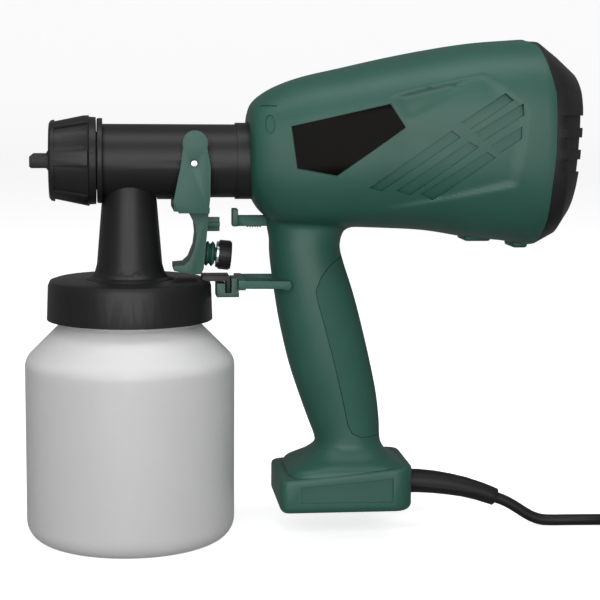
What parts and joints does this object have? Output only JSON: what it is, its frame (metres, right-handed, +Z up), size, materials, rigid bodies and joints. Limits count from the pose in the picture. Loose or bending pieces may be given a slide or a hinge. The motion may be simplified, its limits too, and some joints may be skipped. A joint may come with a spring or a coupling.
{
  "type": "paint sprayer",
  "caption": "Hand-held electric turbine paint sprayer: pistol-grip motor housing, black spray barrel with nozzle nut, trigger, screw-on white paint bottle and mains cord.",
  "frame": {"origin": "centre of the flat base of the paint bottle, where the sprayer stands", "axes": "+Z up along the bottle's axis; -X the way the nozzle points, +X to the back of the motor housing; +Y to the right-hand side of the tool"},
  "size_m": [0.3716, 0.1416, 0.2383],
  "materials": {
    "green_shell": "satin moulded",
    "grip_soft": "soft matt overmould",
    "black_shell": "satin moulded",
    "badge": "gloss label",
    "bottle": "translucent blow moulded",
    "clear_tube": "milky extruded",
    "inner_plastic": "moulded",
    "foam": "open cell foam",
    "seal": "matt",
    "steel": "bright",
    "core": "laminated",
    "cast": "cast",
    "copper": "enamelled wire",
    "brass": "turned",
    "carbon": "graphite",
    "film": "resin dipped",
    "cord": "satin"
  },
  "bodies": {
    "gun": {"housing_left": "green_shell", "housing_right": "green_shell", "grip_insert": "grip_soft", "badge_left": "badge", "badge_right": "badge", "housing_screws": "steel", "air_duct": "black_shell", "duct_seal": "seal", "turbine_case": "inner_plastic", "front_bracket": "cast", "rear_bracket": "cast", "motor_mounts": "seal", "stator": "core", "field_coils": "copper", "front_bearing": "steel", "rear_bearing": "steel", "brush_holders": "brass", "carbon_brushes": "carbon", "switch_body": "black_shell", "capacitor": "film", "inner_leads": "cord", "cord_clamp": "black_shell", "clamp_screws": "steel", "strain_relief": "cord", "cord_lead": "cord", "cord_coil": "cord", "cord_tail": "cord", "coil_tie": "cord", "plug_body": "cord", "plug_pins": "steel", "spray_body": "black_shell", "lid_skirt": "black_shell", "thread_collar": "black_shell", "stop_ring": "black_shell", "fluid_body": "inner_plastic", "needle_gland": "inner_plastic", "paint_nozzle": "brass", "suction_tube": "clear_tube", "trigger_pins": "steel"},
    "filter_cap": {"rear_cap": "black_shell", "air_filter": "foam"},
    "rotor": {"motor_shaft": "steel", "armature": "core", "commutator": "copper", "turbine_fan": "inner_plastic"},
    "trigger": {"trigger": "green_shell", "flow_screw": "green_shell"},
    "flow_ring": {"flow_ring": "steel"},
    "flow_knob": {"flow_knob": "black_shell"},
    "plunger": {"switch_plunger": "green_shell"},
    "needle": {"paint_needle": "steel", "needle_spring": "steel"},
    "bottle_seal": {"bottle_gasket": "seal"},
    "bottle": {"bottle": "bottle", "bottle_neck": "bottle"},
    "cap_washer": {"cap_washer": "inner_plastic"},
    "nut": {"retaining_nut": "black_shell"},
    "air_cap": {"air_cap": "black_shell"},
    "latch": {"latch_bar": "green_shell"}
  },
  "joints": [
    {"name": "filter_cap_pull", "type": "slide", "parent": "gun", "child": "filter_cap", "axis": [1, 0, 0], "range_m": [0, 0.04]},
    {"name": "rotor_spin", "type": "hinge", "parent": "gun", "child": "rotor", "pos_m": [0.12, 0, 0.186], "axis": [1, 0, 0], "continuous": true},
    {"name": "trigger_pull", "type": "hinge", "parent": "gun", "child": "trigger", "pos_m": [0.0296, 0, 0.1798], "axis": [0, -1, 0], "range_deg": [0, 16], "stiffness_Nm_per_rad": 0.4, "springref_deg": -17.19},
    {"name": "flow_travel", "type": "slide", "parent": "trigger", "child": "flow_ring", "axis": [0.9962, 0, -0.0872], "range_m": [0, 0.0015]},
    {"name": "flow_turn", "type": "hinge", "parent": "flow_ring", "child": "flow_knob", "pos_m": [0.035, 0, 0.1366], "axis": [0.9962, 0, -0.0872], "range_deg": [0, 216]},
    {"name": "plunger_slide", "type": "slide", "parent": "gun", "child": "plunger", "axis": [1, 0, 0], "range_m": [0, 0.0044]},
    {"name": "needle_slide", "type": "slide", "parent": "gun", "child": "needle", "axis": [1, 0, 0], "range_m": [0, 0.003]},
    {"name": "bottle_travel", "type": "slide", "parent": "gun", "child": "bottle_seal", "axis": [0, 0, -1], "range_m": [0, 0.0062]},
    {"name": "bottle_turn", "type": "hinge", "parent": "bottle_seal", "child": "bottle", "pos_m": [0, 0, 0.05], "axis": [0, 0, -1], "range_deg": [0, 540]},
    {"name": "nut_travel", "type": "slide", "parent": "gun", "child": "cap_washer", "axis": [-1, 0, 0], "range_m": [0, 0.0045]},
    {"name": "nut_turn", "type": "hinge", "parent": "air_cap", "child": "nut", "pos_m": [-0.03, 0, 0.1803], "axis": [-1, 0, 0], "range_deg": [0, 540]},
    {"name": "air_cap_turn", "type": "hinge", "parent": "cap_washer", "child": "air_cap", "pos_m": [-0.035, 0, 0.1803], "axis": [1, 0, 0], "range_deg": [0, 90]},
    {"name": "latch_swing", "type": "hinge", "parent": "gun", "child": "latch", "pos_m": [0.0734, 0, 0.1226], "axis": [0, -1, 0], "range_deg": [0, 25]}
  ],
  "couplings": [
    {"joint": "flow_turn", "follows": "flow_travel", "rad_per_m": 2513.3},
    {"joint": "plunger_slide", "follows": "trigger_pull", "m_per_rad": 0.014},
    {"joint": "needle_slide", "follows": "trigger_pull", "m_per_rad": 0.009},
    {"joint": "bottle_travel", "follows": "bottle_turn", "m_per_rad": 0.00064},
    {"joint": "nut_turn", "follows": "nut_travel", "rad_per_m": 2094.4}
  ]
}
